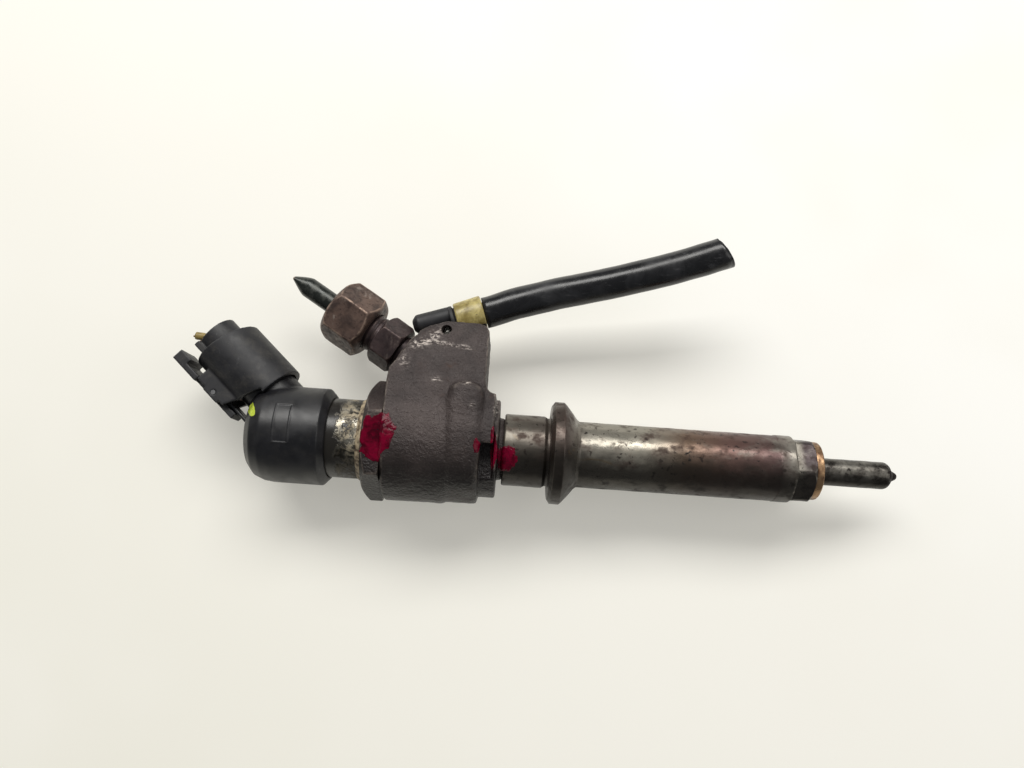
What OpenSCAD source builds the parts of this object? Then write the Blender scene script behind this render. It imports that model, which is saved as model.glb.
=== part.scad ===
// Common-rail diesel injector with piezo actuator, inlet pipe stub,
// return hose and wiring plug. Units mm. Lying on its side:
// +X runs along the injector axis toward the nozzle tip,
// +Y toward the head fin, +Z up. Origin on the axis at the seat face.

/* [Nozzle end] */
// diameter of the nozzle stem
stem_d = 7; // [6.4:0.1:7.2]
// length of the nozzle from the seat face to its tip
tip_len = 21.4; // [19:0.1:24]
// outer diameter of the sealing washer
washer_d = 15; // [14:0.1:16.5]
// thickness of the sealing washer
washer_t = 2; // [1.5:0.1:3]

/* [Retaining nut] */
// diameter of the lower barrel
barrel_d = 17; // [16.6:0.1:19]
// wall of the lower barrel
barrel_wall = 1.3; // [1.2:0.1:1.6]
// diameter of the locating collar
collar_d = 26.4; // [22:0.1:28]
// length of the retaining nut
nut_len = 79; // [76:0.5:84]

/* [Body] */
// diameter of the body drum
drum_d = 30; // [29:0.1:33]
// height of the fin top above the axis
fin_top = 31.5; // [31:0.1:33]
// half thickness of the fin at its top
fin_half = 8; // [7:0.1:9]
// width across flats of the actuator nut
act_af = 27; // [27:0.5:29]

/* [Connector] */
// diameter of the moulded cap
cap_d = 25; // [24.5:0.1:27]
// outer diameter of the plug sleeve
sleeve_d = 17.2; // [17:0.1:18.5]
// angle of the plug above the injector axis
plug_ang = 42; // [38:1:46]

/* [Pipes] */
// width across flats of the pipe union nut
union_af = 15.5; // [15:0.1:17]
// outer diameter of the high pressure pipe
pipe_d = 5.5; // [5:0.1:6]
// outer diameter of the return hose
hose_d = 8.4; // [7.6:0.1:9]

/* [Hidden] */
barrel_r = barrel_d / 2;
collar_r = collar_d / 2;
drum_r = drum_d / 2;
// bore of the drum for the actuator, and the neck that leaves it
bore_r = 11.6;
neck_r = 10.2;
// end of the neck inside the cap
tail_r = 8.2;
stem_r = stem_d / 2;
cap_r = cap_d / 2;
pipe_r = pipe_d / 2;
// rear face of the retaining nut; the rear half is drawn 81 behind the
// seat face and follows that face
nut_l = -washer_t - nut_len;
shift = nut_l + 81;
// parts clamped inside the retaining nut, and the body thread
core_r = barrel_r - barrel_wall - 0.1;
thread_r = core_r + 0.65;
fit = 0.04;
hp_ang = 149;
hp_x = -110;
hp_y = 24.1;
stud_end = 15.9;
nut_s = 9.4;
nut_h = 11.4;
pl_x = -140.5;
pl_y = cap_r - 3.7;
// how far the pins reach back to the neck
pin_foot = (pl_y - tail_r) / sin(plug_ang);
lk_x = -93.6;
lk_y = fin_top + 2.8;
// return nipple: place along the body and its foot in the fin
nip_x = -91;
nip_y = fin_top - 8.5;
lk_ang = 19;
// hinge of the lock lever along and across the plug
lev_x = 11.6;
lev_y = sleeve_d / 2 + 1.65;
// lug on the head
lug_x = -91.1;
lug_r = 4.2;
lug_top = 14.7;
sl_r = sleeve_d / 2;
// socket of the cap: its outside and its bore
spigot_r = 6.9;
socket_r = spigot_r - 1.4;
// the wires leave the plug off its centre, on the lever side
wire_y = 1.2;
// centreline of the return hose
hose_pts = [
  [-92, 34.9, 0], [-88, 36.2, 0], [-84, 37.7, 0.4], [-79.5, 39.3, 1],
  [-75, 40.6, 1.5], [-70, 42, 2.2], [-65, 43.2, 3], [-60, 44.3, 3.9],
  [-55, 45.5, 4.8], [-50, 46.8, 5.8], [-45, 48.1, 6.8], [-40, 49.5, 7.8],
  [-35, 51.1, 8.8], [-31, 52.4, 9.8], [-27.5, 53.6, 10.6]
];

// ---------- helpers ----------
// solid of revolution about X from [radius, x] points
module rev(p, fn = 72) {
  rotate([0, 90, 0]) rotate_extrude($fn = fn) polygon(p);
}

// cylinder along X from x0 to x1
module cyx(x0, x1, r0, r1 = -1, fn = 48) {
  translate([x0, 0, 0]) rotate([0, 90, 0])
    cylinder(h = x1 - x0, r1 = r0, r2 = r1 < 0 ? r0 : r1, $fn = fn);
}

// keeps the rear half against the retaining nut
module behind() {
  translate([shift, 0, 0]) children();
}

// places a child whose +X is the outward way of the inlet
module on_inlet() {
  translate([hp_x, hp_y, 0]) rotate([0, 0, hp_ang]) children();
}

// places a child whose +X is the way the plug pulls off
module on_plug() {
  translate([pl_x, pl_y, 0]) rotate([0, 0, 180 - plug_ang]) children();
}

// places a child whose +X runs along the return connector
module on_leak() {
  translate([lk_x, lk_y, 0]) rotate([0, 0, lk_ang]) children();
}

// helical spring along X, one swept tube
function hel(x0, x1, r, n, t) =
  let(a = 360 * n * t) [x0 + (x1 - x0) * t, r * cos(a), r * sin(a)];

module coil(x0, x1, r, w, n, per = 14, k = 8) {
  m = n * per;
  pts = [for (i = [0:m]) let(
    t = i / m,
    a = 360 * n * t,
    c = hel(x0, x1, r, n, t)
  ) for (j = [0:k - 1]) let(b = 360 * j / k) [
    c[0] + w * sin(b),
    c[1] + w * cos(b) * cos(a),
    c[2] + w * cos(b) * sin(a)
  ]];
  side = [for (i = [0:m - 1]) for (j = [0:k - 1])
    [i * k + j, i * k + (j + 1) % k, (i + 1) * k + (j + 1) % k, (i + 1) * k + j]];
  cap0 = [for (j = [0:k - 1]) k - 1 - j];
  cap1 = [for (j = [0:k - 1]) m * k + j];
  polyhedron(points = pts, faces = concat([cap0], side, [cap1]), convexity = 10);
}

// tube swept through points
function unit(v) = v / norm(v);
module sweep(p, r, k = 12) {
  n = len(p);
  pts = [for (i = [0:n - 1]) let(
    d = unit(p[min(i + 1, n - 1)] - p[max(i - 1, 0)]),
    u = unit(cross([0, 0, 1], d)),
    w = cross(d, u)
  ) for (j = [0:k - 1]) let(b = 360 * j / k)
    p[i] + r * cos(b) * u + r * sin(b) * w];
  side = [for (i = [0:n - 2]) for (j = [0:k - 1])
    [i * k + j, (i + 1) * k + j, (i + 1) * k + (j + 1) % k, i * k + (j + 1) % k]];
  cap0 = [for (j = [0:k - 1]) j];
  cap1 = [for (j = [0:k - 1]) (n - 1) * k + k - 1 - j];
  polyhedron(points = pts, faces = concat([cap0], side, [cap1]), convexity = 6);
}

// ---------- nozzle ----------
module nozzle_body() {
  color("#6b6560") difference() {
    rev([
      [0, -22], [core_r, -22], [core_r, -5.6], [core_r - 0.5, -5.1], [stem_r - 0.4, -5.1],
      [stem_r - 0.4, -0.3], [stem_r, 0], [stem_r, tip_len - 3.4], [stem_r - 0.5, tip_len - 2.7],
      [1.5, tip_len - 1.7], [1.15, tip_len - 1], [0.7, tip_len - 0.25],
      [0, tip_len]
    ]);
    cyx(-23, -12, 2);
    rev([[0, -12.01], [2, -12.01], [3, -11.4], [3, -9.6], [1.7, -8.4], [0, -8.4]], 48);
    cyx(-8.5, tip_len - 3.2, 1.7);
    cyx(tip_len - 3.21, tip_len - 1.9, 1.7, 0.45);
    cyx(tip_len - 1.95, tip_len - 1.2, 0.4, fn = 24);
    // fuel feed into the gallery
    translate([-22.5, -5, 0]) rotate([0, 0, 13.5]) rotate([0, 90, 0])
      cylinder(h = 12, r = 0.8, $fn = 24);
    for (s = [-1, 1]) translate([-22.5, 0, s * 5.2]) rotate([0, 90, 0])
      cylinder(h = 3.5, r = 0.8, $fn = 24);
    // spray holes
    for (a = [0:72:359]) translate([tip_len - 1.6, 0, 0]) rotate([a, 0, 0])
      rotate([0, 0, 72]) rotate([0, 90, 0]) cylinder(h = 3, r = 0.12, $fn = 16);
  }
}

module nozzle_needle() {
  color("#9c9a96") rev([
    [0, -25.6], [1.2, -25.6], [1.2, -21.7], [2 - fit, -21.7],
    [2 - fit, -12.4], [1.2, -11.6], [1.2, tip_len - 3.7],
    [0.35, tip_len - 2.25], [0, tip_len - 2.25]
  ], 48);
}

module stop_plate() {
  color("#7d7a76") difference() {
    cyx(-26, -22, core_r, fn = 72);
    cyx(-27, -21, 1.35);
    translate([-27, -5, 0]) rotate([0, 90, 0]) cylinder(h = 6, r = 0.8, $fn = 24);
    for (s = [-1, 1]) translate([-27, 0, s * 5.2]) rotate([0, 90, 0])
      cylinder(h = 6, r = 0.8, $fn = 24);
  }
}

module dowel_pins() {
  color("#c0beb8") for (s = [-1, 1]) {
    translate([-28.6, 0, s * 5.2]) rotate([0, 90, 0])
      cylinder(h = 9, r = 0.78, $fn = 24);
    translate([-54.6, 0, s * 5.6]) rotate([0, 90, 0])
      cylinder(h = 5.2, r = 0.58, $fn = 24);
  }
}

module spring_housing() {
  color("#77736f") difference() {
    cyx(-52, -26, core_r, fn = 72);
    cyx(-53, -25, 3.9);
    translate([-53, -5.5, 0]) rotate([0, 90, 0]) cylinder(h = 28, r = 0.7, $fn = 24);
    for (s = [-1, 1]) {
      translate([-29, 0, s * 5.2]) rotate([0, 90, 0])
        cylinder(h = 3.5, r = 0.8, $fn = 24);
      translate([-52.5, 0, s * 5.6]) rotate([0, 90, 0])
        cylinder(h = 3.5, r = 0.6, $fn = 24);
    }
  }
}

module spring_seat() {
  color("#a8a6a0") difference() {
    rev([[0, -30.4], [1.6, -30.4], [1.6, -28.4], [3.7, -28.4], [3.7, -26.4], [0, -26.4]], 48);
    cyx(-27, -26, 1.3);
  }
}

module nozzle_spring() {
  color("#8f8d88") coil(-49.05, -29.3, 2.95, 0.6, 8);
}

module spring_shim() {
  color("#b4b1aa") difference() {
    cyx(-51.9, -49.7, 3.86);
    cyx(-53, -49, 2.35);
  }
}

module control_piston() {
  color("#b0aea8") rev([
    [0, shift - 94.2], [2.1, shift - 94.2], [2.1, -52.8], [1.6, -52.2], [1.6, -30.5], [0, -30.5]
  ], 48);
}

module piston_sleeve() {
  color("#96938e") behind() difference() {
    rev([[0, -94.9], [4.4, -94.9], [4.4, -90.4], [3.2, -89.95], [3.2, -80], [0, -80]], 48);
    cyx(-96, -79, 2.1 + fit);
  }
}

module nozzle_retaining_nut() {
  color("#5d544d") difference() {
    union() {
      rev([
        [0, nut_l], [barrel_r + 0.5, nut_l], [barrel_r + 0.75, nut_l + 0.3],
        [barrel_r + 0.75, nut_l + 10.4], [barrel_r + 0.2, nut_l + 11],
        [barrel_r + 0.2, nut_l + 11.7], [collar_r - 1.1, nut_l + 11.9],
        [collar_r, nut_l + 12.7], [collar_r, nut_l + 15.1],
        [collar_r - 0.7, nut_l + 15.8], [barrel_r + 2.1, nut_l + 17.4],
        [barrel_r + 0.5, nut_l + 18.6], [barrel_r, nut_l + 19.3],
        [barrel_r, -11.2], [barrel_r + 0.12, -11.1],
        [barrel_r + 0.12, -6.6], [barrel_r, -6.5], [0, -6.5]
      ], 96);
      intersection() {
        rev([[0, -6.6], [barrel_r, -6.6], [barrel_r, -washer_t - 0.6],
          [barrel_r - 0.6, -washer_t], [0, -washer_t]], 96);
        rotate([20, 0, 0]) rotate([0, 90, 0]) rotate([0, 0, 30])
          translate([0, 0, -7]) cylinder(h = 6, r = (barrel_r - 0.9) / cos(30), $fn = 6);
      }
    }
    cyx(nut_l - 4, -5, core_r + 0.1, fn = 72);
    cyx(nut_l - 4, nut_l + 15.8, thread_r + 0.15, fn = 72);
    cyx(-6, 0, stem_r + 0.25, fn = 72);
    // staking mark
    translate([-9.2, 0.3 - barrel_r, 3.2]) sphere(r = 0.9, $fn = 24);
  }
}

module copper_washer() {
  color("#b98a52") difference() {
    rev([
      [0, -washer_t + 0.02], [washer_d / 2 - 0.2, -washer_t + 0.02],
      [washer_d / 2, -washer_t + 0.25], [washer_d / 2, -0.25],
      [washer_d / 2 - 0.2, 0], [0, 0]
    ], 72);
    cyx(-4, 1, stem_r + 0.3, fn = 72);
  }
}

// ---------- body ----------
// outline of the head in the XY plane
module head_outline() {
  polygon([
    [-111, 0], [-111, 15.2], [-110.9, 17.4], [-104.2, fin_top - 3.2],
    [-102, fin_top - 1.6], [-99.3, fin_top - 0.6], [-97.5, fin_top],
    [-89, fin_top], [-87.3, fin_top - 0.7], [-86.5, fin_top - 2.4],
    [-86.5, 16], [-86.1, 14], [-85.2, 12.9], [-83.6, 12.4], [-83.6, 0]
  ]);
}

// taper of the head seen along the axis, as [y, z]
module head_taper() {
  polygon([
    [0, -drum_r + 0.35], [3.3, -drum_r + 0.35], [fin_top - 3.4, -fin_half - 0.9],
    [fin_top - 1.1, -fin_half + 0.4], [fin_top + 2, -fin_half + 2.2],
    [fin_top + 2, fin_half - 2.2], [fin_top - 1.1, fin_half - 0.4],
    [fin_top - 3.4, fin_half + 0.9], [3.3, drum_r - 0.35], [0, drum_r - 0.35]
  ]);
}

module injector_body() {
  color("#5b4f4a") behind() difference() {
    union() {
      rev([
        [0, -111], [drum_r - 0.9, -111], [drum_r, -110.2], [drum_r, -95.6],
        [drum_r - 0.8, -94.6], [12.65, -94.2], [12.65, -82.7],
        [12.2, -82.4], [thread_r + 0.25, -82.4], [thread_r + 0.25, -81.4],
        [thread_r, -81.4], [thread_r, -66], [core_r, -65.4],
        [core_r, -52 - shift], [0, -52 - shift]
      ], 96);
      intersection() {
        translate([0, 0, -20]) linear_extrude(40) head_outline();
        translate([-115, 0, 0]) rotate([90, 0, 90]) linear_extrude(35) head_taper();
      }
      // raised round-topped lug over the front and back of the head
      intersection() {
        union() {
          translate([lug_x, lug_top - lug_r, -20]) cylinder(h = 40, r = lug_r, $fn = 48);
          translate([lug_x - lug_r, -drum_r, -20])
            cube([2 * lug_r, lug_top - lug_r + drum_r, 40]);
        }
        union() {
          cyx(-97, -86, drum_r - 0.5, fn = 96);
          translate([-97, 0, 0]) rotate([90, 0, 90]) linear_extrude(11)
            polygon([[3.3, -drum_r + 0.75], [lug_top, -drum_r + 1.9],
              [lug_top, drum_r - 1.9], [3.3, drum_r - 0.75]]);
        }
      }
      // boss for the inlet stud
      on_inlet() translate([-9, 0, 0]) rotate([0, 90, 0])
        cylinder(h = 7.4, r1 = 8.2, r2 = 6.6, $fn = 48);
    }
    // control piston and sleeve bores
    cyx(-96, -50 - shift, 2.6);
    cyx(-96, -89.9, 4.44);
    cyx(-97, -79.9, 3.24);
    // valve, lever and actuator bores
    cyx(-103.5, -95, 8, fn = 72);
    cyx(-112, -103.5, bore_r, fn = 96);
    // clamp pockets on both faces
    for (s = [-1, 1]) translate([-87, -12, s > 0 ? 9.3 : -13.3])
      cube([3.8, 15, 4]);
    // inlet thread bore, filter and high pressure drilling
    on_inlet() {
      cyx(-16, 0, 4.55);
      cyx(-19, -15.9, 1.2, fn = 24);
    }
    // return drilling from the actuator bore to the nipple
    translate([nip_x, nip_y - 0.5, 0]) rotate([-90, 0, 0])
      cylinder(h = 12, r = 3.1, $fn = 48);
    translate([nip_x, 14.2, 0]) rotate([-90, 0, 0])
      cylinder(h = fin_top - 21.5, r = 1, $fn = 24);
    translate([-103, 8.6, 0]) rotate([0, 0, 26]) rotate([0, 90, 0])
      cylinder(h = 15, r = 0.9, $fn = 24);
    // long fuel drilling to the nozzle
    translate([-97.2, 13.8, 0]) rotate([0, 0, -24]) rotate([0, 90, 0])
      translate([0, 0, -2]) cylinder(h = 22, r = 0.9, $fn = 24);
    translate([-80, 5.5, 0]) rotate([0, 90, 0]) cylinder(h = 30 - shift, r = 0.7, $fn = 24);
    for (s = [-1, 1]) translate([-54.8 - shift, 0, s * 5.6]) rotate([0, 90, 0])
      cylinder(h = 3.2, r = 0.6, $fn = 24);
    // transport hole in the fin
    translate([-97.6, fin_top - 2.6, -20]) cylinder(h = 40, r = 1.15, $fn = 32);
    // saddle for the connector
    on_leak() {
      cyx(-2.8, 8, 5.1, fn = 64);
      cyx(-4.05, -2.7, 4.2, fn = 64);
    }
    on_leak() translate([0, 1.2, 0]) cyx(-15, -2.7, 4.1, fn = 48);
  }
}

// ---------- valve and actuator ----------
module valve_seat_plate() {
  color("#8b8882") behind() difference() {
    cyx(-99, -95, 7.96, fn = 72);
    cyx(-100, -97.4, 2.6);
    cyx(-98, -94, 0.86 + fit, fn = 32);
    cyx(-96.3, -94, 1.9, fn = 32);
    translate([-99.5, 5, 0]) rotate([0, 90, 0]) cylinder(h = 5, r = 0.7, $fn = 24);
  }
}

module control_valve() {
  color("#b6b4ae") behind() rev([
    [0, -104.9], [0.9, -104.9], [0.9, -100.9], [2.3, -100.7], [2.3, -99.4],
    [0.86, -99.4], [0.86, -96.28], [1.4, -95.8], [1.4, -95.5], [0, -95.5]
  ], 48);
}

module valve_spring() {
  color("#a09e98") behind() coil(-99.12, -97.62, 1.75, 0.2, 3);
}

module lever_base_plate() {
  color("#86837d") behind() difference() {
    cyx(-104.6, -103.55, bore_r - 0.1, fn = 72);
    cyx(-105, -103, 2.4);
  }
  color("#86837d") behind() difference() {
    cyx(-103.6, -99.05, 7.96, fn = 72);
    cyx(-104, -98, 3.6);
  }
}

module stroke_lever(s) {
  color("#a5a39c") behind() translate([-106.4, s > 0 ? 0.25 : -8.45, -2.2]) cube([1.4, 8.2, 4.4]);
  color("#a5a39c") behind() translate([-105.1, s * 5.6, -2.2]) cylinder(h = 4.4, r = 0.42, $fn = 24);
}

module stroke_lever_a() {
  stroke_lever(1);
}

module stroke_lever_b() {
  stroke_lever(-1);
}

module actuator_housing() {
  color("#8d8a84") behind() difference() {
    rev([
      [0, -143], [tail_r, -143], [tail_r, -129], [neck_r, -128], [neck_r, -111.2],
      [bore_r - 0.1, -110.8], [bore_r - 0.1, -104.7], [0, -104.7]
    ], 96);
    cyx(-142, -104, 6.2, fn = 72);
    cyx(-107.4, -104, 9.6, fn = 72);
    for (s = [-1, 1]) translate([-144, 0, s * 2.6]) rotate([0, 90, 0])
      cylinder(h = 3, r = 1.1, $fn = 24);
    // groove for the o-ring
    rotate([0, 90, 0]) rotate_extrude($fn = 96)
      polygon([[bore_r - 0.65, -109.4], [bore_r + 0.4, -109.4],
        [bore_r + 0.4, -108.6], [bore_r - 0.65, -108.6]]);
  }
}

module piezo_stack() {
  color("#3e4a3c") behind() translate([-139, -3.3, -3.3]) cube([28.6, 6.6, 6.6]);
}

module preload_tube() {
  color("#b9b7b1") behind() difference() {
    cyx(-139, -110.4, 5.6, fn = 72);
    cyx(-140, -109, 5.2, fn = 72);
    for (i = [0:8]) for (a = [0:60:359])
      rotate([a + i * 30, 0, 0]) translate([-137 + i * 3, -0.6, 4]) cube([1.6, 1.2, 3]);
  }
}

module piezo_end_plate() {
  color("#a3a19b") behind() difference() {
    cyx(-141.9, -139.05, 6.1, fn = 72);
    for (s = [-1, 1]) translate([-143, 0, s * 2.6]) rotate([0, 90, 0])
      cylinder(h = 6, r = 1, $fn = 24);
  }
}

module piezo_foot() {
  color("#a3a19b") behind() rev([
    [0, -110.3], [6, -110.3], [6, -107.9], [3.2, -107.7], [3.2, -106.5], [0, -106.5]
  ], 72);
}

module actuator_nut() {
  color("#55493f") behind() difference() {
    intersection() {
      rotate([-23, 0, 0]) rotate([0, 90, 0]) translate([0, 0, -116])
        cylinder(h = 4.7, r = act_af / 2 / cos(30), $fn = 6);
      rev([[0, -116], [act_af / 2 - 0.4, -116], [act_af / 2 + 2.2, -114.2],
        [act_af / 2 + 2.2, -111.3], [0, -111.3]], 96);
    }
    cyx(-117, -111, neck_r + fit, fn = 96);
  }
}

module housing_oring() {
  color("#1c1c1c") behind() translate([-109, 0, 0]) rotate([0, 90, 0])
    rotate_extrude($fn = 72) translate([bore_r - 0.3, 0]) circle(r = 0.28, $fn = 20);
}

// ---------- connector ----------
module connector_cap() {
  color("#26262a") behind() difference() {
    union() {
      rev([
        [0, -146.5], [6, -146.5], [9, -145.7], [11.2, -143.9],
        [cap_r - 0.3, -141.4], [cap_r, -139], [cap_r, -126.8],
        [cap_r - 1.7, -125.2], [0, -125.2]
      ], 96);
      on_plug() cyx(-12, 16.5, spigot_r, fn = 64);
      // ramp that the lock catches behind
      on_plug() translate([-3, 9, -2.6]) cube([10.4, lev_y - 9.3, 5.2]);
      on_plug() translate([-3, 6, -1.2]) cube([5, 4, 2.4]);
    }
    cyx(-129, -120, neck_r + 0.05, fn = 96);
    cyx(-143.1, -128, tail_r + 0.05, fn = 72);
    // socket
    on_plug() cyx(3, 18, socket_r, fn = 64);
    for (s = [-1, 1]) {
      translate([-146, 0, s * 2.6]) rotate([0, 90, 0])
        cylinder(h = 4, r = 0.45, $fn = 20);
      on_plug() translate([-pin_foot - 1.1, 0, s * 2.6]) rotate([0, 90, 0])
        cylinder(h = pin_foot + 5.1, r = 0.45, $fn = 20);
    }
  }
}

module terminal_pins() {
  color("#c9b27a") behind() for (s = [-1, 1]) {
    on_plug() translate([-pin_foot, 0, s * 2.6]) rotate([0, 90, 0])
      cylinder(h = pin_foot + 9.5, r = 0.42, $fn = 20);
  }
}

module plug_sleeve() {
  color("#1f1f22") behind() on_plug() difference() {
    union() {
      cyx(1.9, 22, sl_r, fn = 72);
      // cheeks that carry the lock lever
      for (s = [-1, 1]) translate([0, sl_r - 1.9, s > 0 ? 3.7 : -5.1]) {
        translate([9, 0, 0]) cube([5.2, 4.9, 1.4]);
        translate([5, 0, 0]) cube([12.2, 4.1, 1.4]);
      }
      // tab over the wires
      translate([17, 4.2, -4]) cube([8, 1.6, 8]);
      cyx(17, 24.6, 5.4);
    }
    cyx(0, 17.4, sl_r - 1.3, fn = 72);
    cyx(17, 26, 4.1);
    difference() {
      cyx(18.9, 23, sl_r - 1.3, fn = 72);
      cyx(18, 24, 5.4);
      translate([17, 4.2, -4]) cube([8, 1.6, 8]);
    }
    // open lower edge behind the lock
    translate([0, 5.4, -3.6]) cube([8, 5, 7.2]);
    translate([lev_x, lev_y, -6]) cylinder(h = 12, r = 0.63, $fn = 24);
    // lower end clears the cap, upper end is cut on a slant
    translate([-2.6, 3, -12]) rotate([0, 0, -25]) cube([6, 12, 24]);
    difference() {
      translate([18.6, -9, -12]) rotate([0, 0, -9]) cube([8, 22, 24]);
      cyx(17, 27, 5.4);
      translate([17, 4.2, -4]) cube([8, 1.6, 8]);
    }
  }
}

module plug_core() {
  color("#34343a") behind() on_plug() difference() {
    cyx(6.2, 16.85, socket_r - 0.2, fn = 48);
    for (s = [-1, 1]) {
      translate([5, 0, s * 2.6]) rotate([0, 90, 0]) cylinder(h = 13, r = 1.3, $fn = 24);
      translate([15, wire_y, s * 2.05]) rotate([0, 90, 0]) cylinder(h = 3, r = 1.1, $fn = 24);
    }
  }
}

module plug_seal() {
  color("#7a3326") behind() on_plug() translate([6.9, 0, 0]) difference() {
    cyx(0, 2.2, sl_r - 1.35, fn = 64);
    cyx(-1, 4, spigot_r + fit, fn = 64);
  }
}

module plug_terminals() {
  color("#c2bda9") behind() for (s = [-1, 1]) on_plug() difference() {
    translate([6.4, 0, s * 2.6]) rotate([0, 90, 0]) cylinder(h = 8.6, r = 1.2, $fn = 24);
    translate([5, 0, s * 2.6]) rotate([0, 90, 0]) cylinder(h = 6, r = 0.46, $fn = 20);
  }
}

module wire_seals() {
  color("#2b2320") behind() for (s = [-1, 1]) on_plug() difference() {
    translate([17.2, wire_y, s * 2.05]) rotate([0, 90, 0]) cylinder(h = 4.6, r = 1.4, $fn = 32);
    translate([16, wire_y, s * 2.05]) rotate([0, 90, 0]) cylinder(h = 8, r = 1.1, $fn = 24);
  }
}

module wire_yellow() {
  color("#b29a50") behind() on_plug() translate([15.2, wire_y, 2.05]) rotate([0, 90, 0])
    cylinder(h = 13, r = 1.05, $fn = 24);
}

module wire_red() {
  color("#a8452a") behind() on_plug() translate([15.2, wire_y, -2.05]) rotate([0, 90, 0])
    cylinder(h = 12, r = 1.05, $fn = 24);
}

module lock_lever() {
  color("#232327") behind() on_plug() difference() {
    union() {
      translate([4, lev_y, -3.2]) cube([21, 1.5, 6.4]);
      translate([lev_x - 1.5, lev_y - 1.1, -3.2]) cube([3, 1.8, 6.4]);
      // hook
      translate([4, lev_y - 0.15, -3.2]) cube([1.6, 0.5, 6.4]);
      // thumb pad
      translate([17.5, lev_y, -4.6]) cube([8.5, 1.6, 9.2]);
      translate([22.2, lev_y - 1.4, -4.6]) cube([3.8, 1.6, 9.2]);
    }
    translate([lev_x, lev_y, -6]) cylinder(h = 12, r = 0.6 + fit, $fn = 24);
  }
}

module lever_pin() {
  color("#9a9892") behind() on_plug() translate([lev_x, lev_y, -5.1])
    cylinder(h = 10.2, r = 0.6, $fn = 24);
}

// ---------- inlet ----------
module inlet_stud() {
  color("#4b3a33") behind() on_inlet() difference() {
    union() {
      intersection() {
        translate([-0.2, 0, 0]) rotate([0, 90, 0]) rotate([0, 0, 18])
          cylinder(h = 6.6, r = 12 / 2 / cos(30), $fn = 6);
        rev([[0, -0.2], [6.2, -0.2], [6.95, 0.6], [6.95, 5.6], [6.1, 6.4], [0, 6.4]], 64);
      }
      cyx(-15.6, 0, 4.5);
      cyx(6.3, stud_end - 0.8, 5.1);
      cyx(stud_end - 0.81, stud_end, 5.1, 4.5);
    }
    cyx(stud_end - 2.9, stud_end + 0.1, 1.9, 4.1);
    cyx(-16, stud_end - 1, 1.95, fn = 32);
  }
}

module edge_filter() {
  color("#a9a79f") behind() on_inlet() difference() {
    cyx(-12, 6, 1.9, fn = 32);
    for (i = [0:2]) translate([-9, 0, 0]) rotate([i * 120, 0, 0])
      translate([0, 1.5, -0.3]) cube([13, 1, 0.6]);
  }
}

module pipe_stub() {
  color("#3a3d36") behind() on_inlet() difference() {
    rev([
      [0, stud_end - 2.3], [2.3, stud_end - 2.3], [3.9, stud_end - 0.1],
      [3.9, stud_end + 0.7], [pipe_r, stud_end + 1.9],
      [pipe_r, 32.8], [1.8, 34.3], [0, 34.7]
    ], 48);
    cyx(stud_end - 3, 31.5, 0.9, fn = 24);
    // pinched end
    rotate([80, 0, 0]) for (s = [-1, 1]) scale([1, 1, s])
      translate([31, -5, 1.2]) rotate([0, 14, 0]) cube([6, 10, 3]);
  }
}

module thrust_ring() {
  color("#6e6a64") behind() on_inlet() difference() {
    cyx(stud_end + 1, stud_end + 2.6, 4.3);
    rev([[0, stud_end + 0.7], [3.98, stud_end + 0.7], [pipe_r + 0.08, stud_end + 1.95],
      [pipe_r + 0.08, stud_end + 3], [0, stud_end + 3]], 48);
  }
}

module union_nut() {
  color("#6a4f42") behind() on_inlet() difference() {
    intersection() {
      translate([nut_s, 0, 0]) rotate([0, 90, 0]) rotate([0, 0, 15])
        cylinder(h = nut_h, r = union_af / 2 / cos(30), $fn = 6);
      rev([[0, nut_s], [union_af / 2 - 0.3, nut_s], [union_af / 2 + 1.3, nut_s + 1.5],
        [union_af / 2 + 1.3, nut_s + nut_h - 1.7],
        [union_af / 2 - 0.3, nut_s + nut_h], [0, nut_s + nut_h]], 72);
    }
    cyx(nut_s - 1, stud_end + 0.9, 5.1 + 0.06);
    cyx(stud_end + 0.8, stud_end + 2.65, 4.4);
    cyx(stud_end + 2, nut_s + nut_h + 1, pipe_r + 0.12);
  }
}

// ---------- return ----------
module leak_nipple() {
  color("#9b8f6d") behind() translate([nip_x, nip_y, 0]) rotate([-90, 0, 0]) difference() {
    union() {
      cylinder(h = 6.5, r = 3.06, $fn = 48);
      translate([0, 0, 6]) cylinder(h = 6, r = 2, $fn = 32);
    }
    translate([0, 0, -3]) cylinder(h = 20, r = 0.9, $fn = 24);
  }
}

module leak_connector() {
  color("#1d1d1f") behind() difference() {
    union() {
      on_leak() translate([0, 1.4, 0])
        rev([[0, -13.9], [1.4, -13.9], [2.7, -12.6], [2.7, -3.4], [0, -3.4]], 48);
      on_leak() rev([[0, -3.9], [3.9, -3.9], [4.1, -3.7], [4.1, -2.9], [3.4, -2.7],
        [3.4, 5.1], [2.8, 5.3], [2.8, 13], [0, 13]], 48);
      translate([nip_x, nip_y + 7.4, 0]) rotate([-90, 0, 0]) cylinder(h = 3, r = 2.9, $fn = 48);
    }
    on_leak() cyx(-1, 14, 1.7, fn = 32);
    translate([nip_x, nip_y + 7, 0]) rotate([-90, 0, 0]) cylinder(h = 5.2, r = 2.04, $fn = 32);
  }
}

module connector_oring() {
  color("#151515") behind() translate([nip_x, nip_y + 7, 0]) rotate([-90, 0, 0])
    rotate_extrude($fn = 48) translate([2.42, 0]) circle(r = 0.33, $fn = 16);
}

module retaining_collar() {
  color("#a89a5c") behind() on_leak() difference() {
    rev([[0, -2.4], [4.3, -2.4], [4.5, -2], [4.9, 4.8], [4.6, 5.1], [0, 5.1]], 48);
    cyx(-4, 6, 3.45);
    translate([-2.3, -8, -3.1]) cube([7.2, 6, 6.2]);
  }
}

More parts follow.
